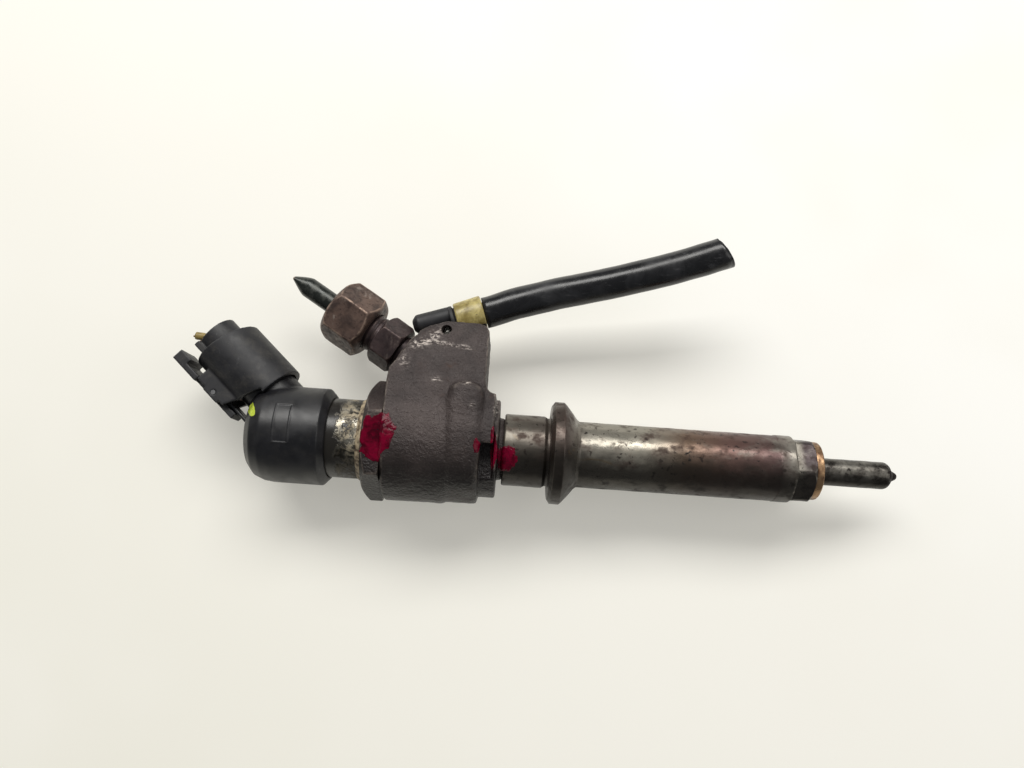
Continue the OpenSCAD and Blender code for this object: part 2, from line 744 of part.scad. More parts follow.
module return_hose() {
  color("#1a1a1b") difference() {
    sweep(hose_pts, hose_d / 2, 12);
    behind() on_leak() cyx(-4, 5.25, 6);
    behind() on_leak() cyx(0, 13.3, 2.84, fn = 32);
  }
}

injector_body();
nozzle_retaining_nut();
nozzle_body();
nozzle_needle();
spring_seat();
nozzle_spring();
spring_shim();
spring_housing();
stop_plate();
dowel_pins();
control_piston();
piston_sleeve();
copper_washer();
valve_seat_plate();
control_valve();
valve_spring();
lever_base_plate();
stroke_lever_a();
stroke_lever_b();
actuator_housing();
piezo_stack();
preload_tube();
piezo_end_plate();
piezo_foot();
actuator_nut();
housing_oring();
connector_cap();
terminal_pins();
plug_sleeve();
plug_core();
plug_seal();
plug_terminals();
wire_seals();
wire_yellow();
wire_red();
lock_lever();
lever_pin();
inlet_stud();
edge_filter();
pipe_stub();
thrust_ring();
union_nut();
leak_nipple();
leak_connector();
connector_oring();
retaining_collar();
return_hose();
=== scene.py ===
"""Looks of the diesel injector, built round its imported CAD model.

Lengths in this script are millimetres unless a name ends in _m. Meshes are made in the
frame of the CAD model: +X along the injector towards its tip, +Y towards the head fin, +Z up.
"""
import math
import random

import bmesh
import bpy
import numpy as np
from mathutils import Matrix, Vector, noise
from mathutils.bvhtree import BVHTree


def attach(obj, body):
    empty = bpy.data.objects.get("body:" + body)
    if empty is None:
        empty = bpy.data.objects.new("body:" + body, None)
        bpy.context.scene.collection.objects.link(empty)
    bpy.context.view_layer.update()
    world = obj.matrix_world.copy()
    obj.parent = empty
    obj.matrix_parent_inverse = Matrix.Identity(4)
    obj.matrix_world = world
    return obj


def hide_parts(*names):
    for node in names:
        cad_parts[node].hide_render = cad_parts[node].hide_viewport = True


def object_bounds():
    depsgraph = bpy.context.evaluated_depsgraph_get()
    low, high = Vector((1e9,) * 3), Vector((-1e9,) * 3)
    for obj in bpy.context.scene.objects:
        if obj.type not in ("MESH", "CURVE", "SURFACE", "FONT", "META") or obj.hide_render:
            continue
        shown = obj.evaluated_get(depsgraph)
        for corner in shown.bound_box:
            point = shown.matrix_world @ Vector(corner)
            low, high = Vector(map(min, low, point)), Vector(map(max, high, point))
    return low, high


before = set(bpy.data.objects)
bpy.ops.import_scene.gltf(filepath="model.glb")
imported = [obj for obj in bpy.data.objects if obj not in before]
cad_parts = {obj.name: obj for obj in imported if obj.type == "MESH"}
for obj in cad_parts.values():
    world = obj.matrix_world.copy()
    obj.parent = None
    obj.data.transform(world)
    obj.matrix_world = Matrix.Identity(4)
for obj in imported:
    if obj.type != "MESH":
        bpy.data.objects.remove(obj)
CAD_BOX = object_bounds()
MM = 0.001
rng = random.Random(11)

# ---------- places, as in the CAD source ----------


def frame_at(x, y, degrees):
    """A place in the plane of the fin whose +X points degrees above the row's +X."""
    return Matrix.Translation((x, y, 0)) @ Matrix.Rotation(math.radians(degrees), 4, "Z")


AXIS = Matrix.Identity(4)
INLET = frame_at(-110, 24.1, 149)
PLUG = frame_at(-140.5, 8.8, 138)
LEAK = frame_at(-93.6, 34.3, 19)
FLOOR_Z = CAD_BOX[0][2] / MM
MIDDLE_M = (-0.07, 0, 0)

HOSE_ROUTE = [
    (-92, 34.9, 0), (-88, 36.2, 0), (-84, 37.7, 0.4), (-79.5, 39.3, 1),
    (-75, 40.6, 1.5), (-70, 42, 2.2), (-65, 43.2, 3), (-60, 44.3, 3.9),
    (-55, 45.5, 4.8), (-50, 46.8, 5.8), (-45, 48.1, 6.8), (-40, 49.5, 7.8),
    (-35, 51.1, 8.8), (-31, 52.4, 9.8), (-27.5, 53.6, 10.6),
]

# ---------- camera, light and table ----------


def add_camera():
    """Looks down on the lying injector, tipped a little towards the fin."""
    data = bpy.data.cameras.new("camera")
    data.lens = 28
    data.sensor_width = 36
    data.clip_start = 0.01
    cam = bpy.data.objects.new("camera", data)
    right = Vector((0.99756, 0.0687, 0.0121))
    back = Vector((0, -0.1736, 0.9848))
    up = back.cross(right).normalized()
    right = up.cross(back).normalized()
    turn = Matrix((right, up, back)).transposed().to_4x4()
    cam.matrix_world = Matrix.Translation(Vector((-79.9, -19.1, 206.8)) * MM) @ turn
    bpy.context.scene.collection.objects.link(cam)
    bpy.context.scene.camera = cam


def area_light(name, place_m, size_m, power, colour):
    """A soft lamp turned to the middle of the injector."""
    data = bpy.data.lights.new(name, "AREA")
    data.shape = "RECTANGLE"
    data.size, data.size_y = size_m
    data.energy = power
    data.color = colour
    lamp = bpy.data.objects.new(name, data)
    lamp.location = place_m
    aim = Vector(MIDDLE_M) - Vector(place_m)
    lamp.rotation_euler = aim.to_track_quat("-Z", "Y").to_euler()
    bpy.context.scene.collection.objects.link(lamp)


def add_light():
    world = bpy.data.worlds.new("studio")
    world.use_nodes = True
    sky = world.node_tree.nodes["Background"].inputs
    sky["Color"].default_value = (0.93, 0.96, 1, 1)
    sky["Strength"].default_value = 0.16
    bpy.context.scene.world = world
    bpy.context.scene.view_settings.view_transform = "Standard"
    area_light("window", (-0.2, 0.78, 0.9), (1.5, 0.45), 17, (1, 0.985, 0.95))
    area_light("side", (0.85, 0.1, 0.85), (0.7, 1.2), 3.2, (1, 0.98, 0.94))


def add_table():
    """A plain pale table top with painted light: warmer and darker towards the near left corner,
    lighter to the far right, and glowing faintly.
    """
    bpy.ops.mesh.primitive_plane_add(size=4, location=(0, 0, FLOOR_Z * MM))
    table = bpy.context.object
    table.name = "table_top"
    mat, b = material("table_top", (0.58, 0.56, 0.50), 0.5)
    place = b.coords()
    # painted light: the colour ramps from darker and warmer at the near left to lighter at the far
    # right, as if the lamps fell more strongly there
    lit = b.math("ADD", b.part(place, "X"), b.math("MULTIPLY", b.part(place, "Y"), 1.2))
    grade = b.ramp(lit, [(0, (0.54, 0.53, 0.47)), (0.5, (0.60, 0.59, 0.55)),
                         (1, (0.66, 0.66, 0.65))], low=-0.3, high=0.1)
    b.link(b.mix(b.noise(place, 9, 3), grade, (0.60, 0.59, 0.55), low=0.35, high=0.75),
           "Base Color")
    b.set("Specular IOR Level", 0.2)
    # painted light: the table top glows faintly, lightening the shadows on it and throwing light
    # onto the injector's underside
    b.set("Emission Color", (1, 0.97, 0.87, 1))
    b.set("Emission Strength", 0.34)
    table.data.materials.append(mat)


# ---------- materials ----------


class Build:
    """Short names for the node calls that every material here needs."""

    def __init__(self, mat):
        self.tree = mat.node_tree
        self.tree.nodes.clear()
        out = self.tree.nodes.new("ShaderNodeOutputMaterial")
        self.shader = self.tree.nodes.new("ShaderNodeBsdfPrincipled")
        self.tree.links.new(self.shader.outputs[0], out.inputs[0])

    def new(self, kind):
        return self.tree.nodes.new("ShaderNode" + kind)

    def put(self, value, socket):
        """Links a socket, or sets a number or colour."""
        if isinstance(value, bpy.types.NodeSocket):
            self.tree.links.new(value, socket)
        elif isinstance(value, (tuple, list)) and len(value) == 3 and socket.type == "RGBA":
            socket.default_value = (*value, 1)
        else:
            socket.default_value = value

    def set(self, name, value):
        self.put(value, self.shader.inputs[name])

    def link(self, socket, name):
        self.tree.links.new(socket, self.shader.inputs[name])

    def coords(self):
        return self.new("TexCoord").outputs["Object"]

    def part(self, vector, axis):
        node = self.new("SeparateXYZ")
        self.put(vector, node.inputs[0])
        return node.outputs[axis]

    def scaled(self, vector, scale, turn=(0, 0, 0)):
        node = self.new("Mapping")
        self.put(vector, node.inputs["Vector"])
        node.inputs["Scale"].default_value = scale
        node.inputs["Rotation"].default_value = turn
        return node.outputs[0]

    def noise(self, vector, scale, detail=4.0, rough=0.55, warp=0.0):
        node = self.new("TexNoise")
        self.put(vector, node.inputs["Vector"])
        node.inputs["Scale"].default_value = scale
        node.inputs["Detail"].default_value = detail
        node.inputs["Roughness"].default_value = rough
        node.inputs["Distortion"].default_value = warp
        return node.outputs["Fac"]

    def level(self, value, low, high, to_low=0.0, to_high=1.0):
        node = self.new("MapRange")
        node.interpolation_type = "SMOOTHSTEP"
        self.put(value, node.inputs["Value"])
        for name, number in zip(("From Min", "From Max", "To Min", "To Max"),
                                (low, high, to_low, to_high)):
            node.inputs[name].default_value = number
        return node.outputs["Result"]

    def math(self, kind, a, b=0.5, c=0.0):
        node = self.new("Math")
        node.operation = kind
        for value, socket in zip((a, b, c), node.inputs):
            self.put(value, socket)
        return node.outputs[0]

    def ramp(self, value, stops, low=0.0, high=1.0):
        """Colours along value; stops run from 0 at low to 1 at high."""
        node = self.new("ValToRGB")
        self.put(self.level_line(value, low, high), node.inputs[0])
        band = node.color_ramp
        while len(band.elements) < len(stops):
            band.elements.new(0.5)
        for element, (at, colour) in zip(band.elements, stops):
            element.position = at
            element.color = (*colour, 1)
        return node.outputs["Color"]

    def level_line(self, value, low, high):
        node = self.new("MapRange")
        self.put(value, node.inputs["Value"])
        node.inputs["From Min"].default_value = low
        node.inputs["From Max"].default_value = high
        return node.outputs["Result"]

    def mix(self, fac, a, b, low=0.0, high=1.0):
        """Colour a where fac is low and b where it is high."""
        node = self.new("Mix")
        node.data_type = "RGBA"
        if (low, high) != (0.0, 1.0):
            fac = self.level(fac, low, high)
        self.put(fac, node.inputs[0])
        self.put(a, node.inputs[6])
        self.put(b, node.inputs[7])
        return node.outputs[2]

    def blend(self, fac, a, b):
        """Number a where fac is 0 and b where it is 1."""
        node = self.new("Mix")
        self.put(fac, node.inputs[0])
        self.put(a, node.inputs[2])
        self.put(b, node.inputs[3])
        return node.outputs[0]

    def attribute(self, name):
        node = self.new("Attribute")
        node.attribute_name = name
        return node.outputs["Fac"]

    def bump(self, *layers):
        """layers are (height, strength, distance in mm); stacked into one normal."""
        normal = None
        for height, strength, distance in layers:
            node = self.new("Bump")
            self.put(height, node.inputs["Height"])
            node.inputs["Strength"].default_value = strength
            node.inputs["Distance"].default_value = distance * MM
            if normal is not None:
                self.put(normal, node.inputs["Normal"])
            normal = node.outputs[0]
        self.link(normal, "Normal")


def material(name, colour, rough, metal=0.0):
    mat = bpy.data.materials.new(name)
    mat.use_nodes = True
    b = Build(mat)
    b.set("Base Color", colour)
    b.set("Roughness", rough)
    b.set("Metallic", metal)
    return mat, b


def forged_steel():
    """Sandblasted forging: brown-grey, gritty, with worn bright edges, oily glossy patches, and
    painted shade on its lower side, in its hollows and in the pocket by the lug.
    """
    mat, b = material("forged_steel", (0.09, 0.075, 0.07), 0.5, 0.25)
    p = b.coords()
    patches = b.noise(p, 75, 5, 0.6, 0.4)
    base = b.mix(patches, (0.028, 0.0205, 0.0195), (0.060, 0.045, 0.042), 0.32, 0.68)
    rust = b.noise(b.scaled(p, (1, 1, 1.3)), 190, 6, 0.65)
    base = b.mix(rust, base, (0.055, 0.027, 0.018), 0.58, 0.8)
    # painted shade: the lower side (towards -Y) is darkened in patches, which are also made
    # glossier as an oily film
    low_shade_and_oil = b.math("MULTIPLY", b.level(b.part(p, "Y"), 0.002, -0.011),
                 b.level(b.noise(p, 120, 4), 0.25, 0.5, 0.4, 1.0))
    base = b.mix(low_shade_and_oil, base, (0.014, 0.011, 0.010))
    edge = b.math("MULTIPLY", b.level(b.attribute("edge"), 0.12, 0.55),
                  b.level(b.noise(p, 420, 4), 0.35, 0.62))
    base = b.mix(edge, base, (0.17, 0.14, 0.12))
    scrape = b.math("MULTIPLY", b.attribute("scrape"), b.level(b.noise(
        b.scaled(p, (1, 2.2, 1), (0, 0, 0.5)), 900, 5, 0.7), 0.48, 0.6))
    base = b.mix(scrape, base, (0.60, 0.53, 0.48))
    # painted shade: concave hollows and the pocket by the lug are darkened to near black
    dirt_and_shade = b.level(b.attribute("hollow"), 0.1, 0.6)
    base = b.mix(b.math("MAXIMUM", dirt_and_shade, b.attribute("grime")), base, (0.009, 0.006, 0.006))
    b.link(base, "Base Color")
    b.link(b.blend(low_shade_and_oil, b.level(rust, 0.3, 0.7, 0.42, 0.58), 0.3), "Roughness")
    grit = b.noise(p, 1500, 3, 0.6)
    pits = b.noise(p, 3200, 2, 0.5)
    b.bump((patches, 0.12, 0.4), (grit, 0.95, 0.34), (pits, 0.7, 0.14))
    b.set("Specular IOR Level", 0.42)
    return mat


def barrel_steel():
    """Turned steel, heat-tinted brown and violet in blotches, rusty and oily, with painted shade
    on its lower side.
    """
    mat, b = material("barrel_steel", (0.14, 0.125, 0.11), 0.34, 0.6)
    p = b.coords()
    x, y = b.part(p, "X"), b.part(p, "Y")
    streaks = b.noise(b.scaled(p, (70, 190, 190)), 1.0, 6, 0.68, 0.6)
    bare = b.mix(streaks, (0.075, 0.067, 0.056), (0.34, 0.315, 0.27), 0.36, 0.7)
    tint = b.ramp(x, [(0.0, (0.16, 0.145, 0.12)), (0.20, (0.062, 0.044, 0.037)),
                      (0.27, (0.27, 0.25, 0.21)), (0.44, (0.28, 0.26, 0.215)),
                      (0.58, (0.14, 0.092, 0.062)), (0.72, (0.12, 0.066, 0.055)),
                      (0.88, (0.075, 0.042, 0.040)), (0.915, (0.24, 0.22, 0.19)),
                      (0.945, (0.17, 0.155, 0.13)), (0.965, (0.045, 0.032, 0.034))],
                  low=-0.081, high=-0.002)
    base = b.mix(b.noise(b.scaled(p, (70, 120, 120)), 1.0, 5, 0.65, 0.8), bare, tint, 0.2, 0.5)
    rust = b.noise(b.scaled(p, (210, 260, 260)), 1.0, 5, 0.62)
    base = b.mix(b.level(rust, 0.48, 0.7, 0, 0.85), base, (0.045, 0.024, 0.018))
    spots = b.noise(p, 620, 3, 0.5)
    base = b.mix(b.level(spots, 0.62, 0.7, 0, 0.8), base, (0.024, 0.014, 0.012))
    gold = b.noise(b.scaled(p, (90, 160, 160)), 1.0, 5, 0.7, 1.0)
    base = b.mix(b.level(gold, 0.62, 0.76, 0, 0.6), base, (0.20, 0.12, 0.035))
    soot = b.math("MULTIPLY", b.level(b.noise(b.scaled(p, (800, 900, 900)), 1.0, 3, 0.6),
                                      0.6, 0.68), b.level(b.noise(p, 150, 4), 0.45, 0.6))
    base = b.mix(soot, base, (0.012, 0.009, 0.008))
    # painted shade: the lower side (towards -Y) is darkened, with a ragged upper edge
    low = b.math("MULTIPLY", b.level(b.math("ADD", y, b.math("MULTIPLY", b.math(
        "SUBTRACT", b.noise(b.scaled(p, (110, 160, 160)), 1.0, 5, 0.65), 0.5), 0.009)),
        0.003, -0.004), 0.88)
    base = b.mix(low, base, (0.018, 0.015, 0.012))
    edge = b.math("MULTIPLY", b.level(b.attribute("edge"), 0.12, 0.5),
                  b.level(b.noise(p, 700, 4), 0.36, 0.6))
    base = b.mix(edge, base, (0.26, 0.23, 0.19))
    b.link(base, "Base Color")
    b.link(b.blend(b.level(rust, 0.5, 0.66), b.level(streaks, 0.3, 0.7, 0.24, 0.42), 0.62),
           "Roughness")
    lines = b.noise(b.scaled(p, (2600, 14, 14)), 1.0, 2, 0.5)
    scratches = b.noise(b.scaled(p, (160, 1400, 1400), (0.3, 0.1, 0.2)), 1.0, 3, 0.6)
    b.bump((streaks, 0.25, 0.14), (rust, 0.3, 0.14), (lines, 0.2, 0.03),
           (scratches, 0.15, 0.04), (spots, 0.3, 0.08))
    return mat


def neck_steel():
    """Bright drawn steel under black grease, with dried beige sealant near the nut, and painted
    shade on its lower side.
    """
    mat, b = material("neck_steel", (0.3, 0.29, 0.26), 0.3, 0.8)
    p = b.coords()
    x, y = b.part(p, "X"), b.part(p, "Y")
    streaks = b.noise(b.scaled(p, (160, 260, 260)), 1.0, 6, 0.6, 0.5)
    base = b.mix(streaks, (0.06, 0.054, 0.044), (0.36, 0.335, 0.28), 0.4, 0.66)
    scum = b.math("MULTIPLY", b.level(b.noise(p, 480, 6, 0.7, 0.8), 0.47, 0.58),
                  b.level(x, -0.1235, -0.1175, 0.1, 1.0))
    base = b.mix(scum, base, (0.46, 0.39, 0.27))
    fade = b.level(x, -0.1215, -0.1245, 0.0, 0.75)
    grease = b.level(b.math("ADD", b.noise(p, 420, 6, 0.72), b.math("MULTIPLY", fade, 0.32)),
                     0.5, 0.6)
    base = b.mix(grease, base, (0.016, 0.014, 0.012))
    # painted shade: darker towards -Y, the lower side
    base = b.mix(b.level(y, 0.0, -0.007, 0, 0.9), base, (0.018, 0.015, 0.011))
    b.link(base, "Base Color")
    b.link(b.blend(grease, b.blend(scum, 0.3, 0.7), 0.28), "Roughness")
    b.link(b.blend(b.math("MAXIMUM", scum, grease), 0.85, 0.05), "Metallic")
    b.bump((streaks, 0.12, 0.1), (scum, 0.5, 0.15), (grease, 0.6, 0.12),
           (b.noise(p, 1700, 3), 0.15, 0.06))
    return mat


def nozzle_steel():
    """Ground steel stem, tarnished and lacquered, with soot towards the tip, and painted shade on
    its lower side.
    """
    mat, b = material("nozzle_steel", (0.14, 0.13, 0.12), 0.3, 0.8)
    p = b.coords()
    x, y = b.part(p, "X"), b.part(p, "Y")
    streaks = b.noise(b.scaled(p, (260, 200, 200)), 1.0, 6, 0.66, 0.5)
    base = b.mix(streaks, (0.035, 0.03, 0.026), (0.17, 0.16, 0.14), 0.38, 0.68)
    soot = b.noise(p, 620, 6, 0.72)
    tip = b.level(x, 0.0165, 0.0195)
    black = b.level(b.math("ADD", soot, b.math("MULTIPLY", tip, 0.25)), 0.56, 0.66)
    base = b.mix(black, base, (0.018, 0.014, 0.013))
    # painted shade: darker towards -Y, the lower side
    base = b.mix(b.level(y, 0.0, -0.0028, 0, 0.85), base, (0.016, 0.013, 0.01))
    b.link(base, "Base Color")
    b.link(b.blend(black, b.level(streaks, 0.3, 0.7, 0.24, 0.4), 0.7), "Roughness")
    b.bump((soot, 0.4, 0.14), (streaks, 0.2, 0.1),
           (b.noise(b.scaled(p, (3500, 30, 30)), 1.0, 2), 0.12, 0.03))
    return mat


def rusty_steel(name, dark, light, rubbed, worn):
    """Oxidised steel: rusty brown, rubbed pale where spanners wore its edges and one face, with
    painted shade in its hollows.
    """
    mat, b = material(name, dark, 0.5, 0.45)
    p = b.coords()
    patches = b.noise(p, 240, 6, 0.62, 0.6)
    base = b.mix(patches, dark, light, 0.35, 0.66)
    speck = b.noise(p, 900, 4, 0.7)
    base = b.mix(speck, base, (0.03, 0.016, 0.013), 0.55, 0.7)
    rub = b.math("MULTIPLY", b.level(b.noise(p, 190, 4, 0.6), 0.5, 0.64),
                 b.level(b.noise(b.scaled(p, (900, 260, 500), (0.2, 0.4, 0.6)), 1.0, 5, 0.75),
                         0.46, 0.62))
    rub = b.math("MULTIPLY", rub, rubbed)
    base = b.mix(rub, base, (0.26, 0.21, 0.18))
    edge = b.math("MULTIPLY", b.level(b.attribute("edge"), 0.1, 0.36),
                  b.level(b.noise(p, 620, 4, 0.6), 0.4, 0.58))
    base = b.mix(edge, base, worn)
    # painted shade: concave hollows are darkened to near black
    dirt_and_shade = b.level(b.attribute("hollow"), 0.08, 0.5)
    base = b.mix(dirt_and_shade, base, (0.012, 0.008, 0.007))
    b.link(base, "Base Color")
    b.link(b.level(speck, 0.3, 0.7, 0.36, 0.6), "Roughness")
    scratches = b.noise(b.scaled(p, (900, 120, 500), (0.2, 0.4, 0.6)), 1.0, 3)
    b.bump((patches, 0.3, 0.25), (speck, 0.4, 0.12), (scratches, 0.12, 0.05))
    return mat


def pipe_paint():
    """Dark grey-green coated pipe, glossy, chipped to steel at the cut."""
    mat, b = material("pipe_paint", (0.035, 0.04, 0.035), 0.25, 0.3)
    p = b.coords()
    wear = b.noise(p, 420, 5, 0.65)
    base = b.mix(wear, (0.018, 0.021, 0.018), (0.075, 0.078, 0.068), 0.45, 0.75)
    edge = b.level(b.attribute("edge"), 0.3, 0.7)
    base = b.mix(edge, base, (0.24, 0.19, 0.15))
    b.link(base, "Base Color")
    b.link(b.level(wear, 0.3, 0.7, 0.16, 0.4), "Roughness")
    b.bump((wear, 0.25, 0.1))
    return mat


def copper():
    """Annealed copper washer, darkened in patches, scratched bright on its edge."""
    mat, b = material("copper", (0.3, 0.17, 0.07), 0.4, 0.85)
    p = b.coords()
    tarnish = b.noise(p, 420, 5, 0.65)
    base = b.mix(tarnish, (0.34, 0.215, 0.12), (0.12, 0.062, 0.036), 0.4, 0.66)
    b.link(base, "Base Color")
    b.link(b.level(tarnish, 0.3, 0.7, 0.26, 0.5), "Roughness")
    b.bump((b.noise(b.scaled(p, (2500, 200, 200)), 1.0, 2), 0.25, 0.05), (tarnish, 0.2, 0.08))
    return mat


def moulded_plastic(name, colour, dust, rough=0.42):
    """Moulded black polyamide: fine spark texture, scuffs and settled dust."""
    mat, b = material(name, colour, rough)
    p = b.coords()
    tone = b.noise(p, 160, 5, 0.6, 0.5)
    base = b.mix(tone, colour, tuple(1.6 * c + 0.003 for c in colour), 0.35, 0.7)
    film = b.math("MULTIPLY", b.level(b.noise(p, 260, 6, 0.7, 0.4), 0.46, 0.7), dust * 0.5)
    base = b.mix(film, base, (0.05, 0.045, 0.038))
    scuff = b.noise(b.scaled(p, (700, 160, 160), (0, 0, 0.7)), 1.0, 5, 0.75)
    base = b.mix(b.level(scuff, 0.6, 0.78, 0, 0.45), base, (0.10, 0.10, 0.105))
    edge = b.level(b.attribute("edge"), 0.2, 0.7, 0, 0.4)
    base = b.mix(edge, base, (0.075, 0.075, 0.08))
    grit = b.math("MULTIPLY", b.level(b.noise(p, 2300, 4, 0.8), 0.66, 0.74), dust)
    base = b.mix(grit, base, (0.26, 0.23, 0.19))
    b.link(base, "Base Color")
    b.link(b.level(tone, 0.3, 0.7, rough - 0.06, rough + 0.12), "Roughness")
    b.bump((b.noise(p, 2600, 2), 0.16, 0.05), (scuff, 0.2, 0.06), (film, 0.3, 0.06),
           (grit, 0.5, 0.08))
    return mat


def hose_rubber():
    """Smooth extruded rubber with faint wrap lines, scuffs and grey bloom."""
    mat, b = material("hose_rubber", (0.016, 0.016, 0.017), 0.36)
    p = b.coords()
    bloom = b.noise(p, 120, 6, 0.65, 0.4)
    base = b.mix(bloom, (0.008, 0.008, 0.009), (0.028, 0.028, 0.031), 0.4, 0.75)
    scuff = b.noise(b.scaled(p, (170, 700, 700), (0, 0.1, 0.3)), 1.0, 5, 0.75)
    base = b.mix(b.level(scuff, 0.56, 0.75, 0, 0.6), base, (0.10, 0.10, 0.105))
    b.link(base, "Base Color")
    b.link(b.level(bloom, 0.35, 0.7, 0.22, 0.4), "Roughness")
    b.bump((b.noise(p, 1900, 3), 0.2, 0.06), (scuff, 0.15, 0.05), (bloom, 0.2, 0.2))
    return mat


def khaki_plastic():
    """Aged see-through nylon of the collar, yellowed and dirty in its corners."""
    mat, b = material("khaki_plastic", (0.5, 0.42, 0.2), 0.36)
    p = b.coords()
    tone = b.noise(p, 300, 5, 0.6, 0.5)
    base = b.mix(tone, (0.22, 0.165, 0.045), (0.50, 0.42, 0.17), 0.35, 0.65)
    dirt_and_shade = b.level(b.noise(p, 520, 5, 0.7), 0.55, 0.72)
    base = b.mix(dirt_and_shade, base, (0.04, 0.03, 0.015))
    b.link(base, "Base Color")
    b.set("Subsurface Weight", 0.15)
    b.set("Subsurface Radius", (0.002, 0.0015, 0.0006))
    b.bump((tone, 0.2, 0.15), (b.noise(p, 1500, 2), 0.15, 0.05))
    return mat


def wire_plastic(name, colour):
    mat, b = material(name, colour, 0.4)
    p = b.coords()
    dirt_and_shade = b.noise(p, 900, 5, 0.65)
    base = b.mix(dirt_and_shade, colour, tuple(0.35 * c for c in colour), 0.45, 0.7)
    b.link(base, "Base Color")
    b.bump((dirt_and_shade, 0.25, 0.08))
    return mat


def marking_paint(name, colour, dark, rough=0.16):
    """Thick brushed marking paint, glossy and uneven, dirty along its edge."""
    mat, b = material(name, colour, rough)
    p = b.coords()
    tone = b.noise(p, 330, 5, 0.6, 0.8)
    base = b.mix(tone, dark, colour, 0.35, 0.6)
    specks = b.level(b.noise(p, 900, 4, 0.75), 0.6, 0.68)
    base = b.mix(specks, base, (0.02, 0.004, 0.008))
    b.link(base, "Base Color")
    b.set("Coat Weight", 0.12)
    b.set("Coat Roughness", 0.12)
    b.set("Specular IOR Level", 0.12)
    b.bump((tone, 0.5, 0.35), (b.noise(p, 1100, 3), 0.35, 0.08))
    return mat


def sealant():
    """Dried tan thread sealant squeezed out of a joint."""
    mat, b = material("sealant", (0.5, 0.4, 0.27), 0.6)
    p = b.coords()
    tone = b.noise(p, 700, 5, 0.65)
    base = b.mix(tone, (0.08, 0.055, 0.035), (0.46, 0.37, 0.24), 0.36, 0.62)
    b.link(base, "Base Color")
    b.bump((tone, 0.6, 0.25))
    return mat


def plain_metal(name, colour, rough):
    """Clean inner metal: finely ground, with a trace of fuel varnish."""
    mat, b = material(name, colour, rough, 1.0)
    p = b.coords()
    varnish = b.noise(p, 260, 5, 0.6)
    base = b.mix(varnish, colour, tuple(c * k for c, k in zip(colour, (0.8, 0.7, 0.55))),
                 0.45, 0.75)
    b.link(base, "Base Color")
    b.link(b.level(varnish, 0.3, 0.7, rough - 0.05, rough + 0.12), "Roughness")
    b.bump((b.noise(b.scaled(p, (2400, 60, 60)), 1.0, 2), 0.12, 0.03))
    return mat


def rubber(name, colour):
    mat, b = material(name, colour, 0.5)
    p = b.coords()
    tone = b.noise(p, 500, 4)
    base = b.mix(tone, colour, tuple(1.8 * c + 0.01 for c in colour), 0.4, 0.75)
    b.link(base, "Base Color")
    b.bump((b.noise(p, 2000, 3), 0.2, 0.06))
    return mat


# ---------- mesh helpers ----------


def make(name, verts, faces, place, body, mat, nodes=()):
    """A mesh piece from points in mm at a place, riding on a body."""
    data = bpy.data.meshes.new(name)
    data.from_pydata([tuple(place @ Vector(v) * MM) for v in verts], [], faces)
    return finish_piece(name, data, body, mat, nodes)


def finish_piece(name, data, body, mat, nodes=()):
    data.validate()
    bm = bmesh.new()
    bm.from_mesh(data)
    bmesh.ops.recalc_face_normals(bm, faces=bm.faces)
    bm.to_mesh(data)
    bm.free()
    data.shade_smooth()
    mark_edges(data)
    data.materials.clear()
    data.materials.append(mat)
    piece = bpy.data.objects.new(name, data)
    bpy.context.scene.collection.objects.link(piece)
    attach(piece, body)
    if nodes:
        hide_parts(*nodes)
    return piece


def read(data, what):
    """The points' "co" or "normal" as an array of rows."""
    out = np.empty(len(data.vertices) * 3)
    data.vertices.foreach_get(what, out)
    return out.reshape(-1, 3)


def store(data, name, values):
    """Keeps a number per point, for a material to read."""
    layer = data.attributes.new(name, "FLOAT", "POINT")
    layer.data.foreach_set("value", values.astype(np.float32))


def neighbours(data):
    """A function that averages values over each point's neighbours, and the edges' ends."""
    count = len(data.vertices)
    ends = np.empty(len(data.edges) * 2, dtype=np.int64)
    data.edges.foreach_get("vertices", ends)
    a, b = ends.reshape(-1, 2).T
    degree = np.bincount(ends, minlength=count).clip(1)

    def spread(values):
        if values.ndim == 2:
            return np.stack([spread(column) for column in values.T], axis=1)
        total = np.bincount(a, values[b], count) + np.bincount(b, values[a], count)
        return total / degree

    return spread, a, b, degree


def mark_edges(data, passes=3):
    """Stores how convex ("edge") and how concave ("hollow") each point is, from 0 to 1."""
    count = len(data.vertices)
    co, normal = read(data, "co"), read(data, "normal")
    spread, a, b, degree = neighbours(data)
    away = co[b] - co[a]
    length = np.linalg.norm(away, axis=1).clip(1e-9)
    turn_a = (away * normal[a]).sum(1) / length
    turn_b = -(away * normal[b]).sum(1) / length
    bend = -(np.bincount(a, turn_a, count) + np.bincount(b, turn_b, count)) / degree
    for _ in range(passes):
        bend = 0.5 * bend + 0.5 * spread(bend)
    store(data, "edge", (bend * 4).clip(0, 1))
    store(data, "hollow", (-bend * 4).clip(0, 1))


def melt(data, points, weight, passes):
    """Smooths the points where weight is above 0, as a casting blends its lumps together."""
    spread = neighbours(data)[0]
    for _ in range(passes):
        points = points + (0.6 * weight)[:, None] * (spread(points) - points)
    return points


def step(values, low, high):
    """Smooth 0 to 1 between low and high; low may be the larger."""
    t = ((values - low) / (high - low)).clip(0, 1)
    return t * t * (3 - 2 * t)


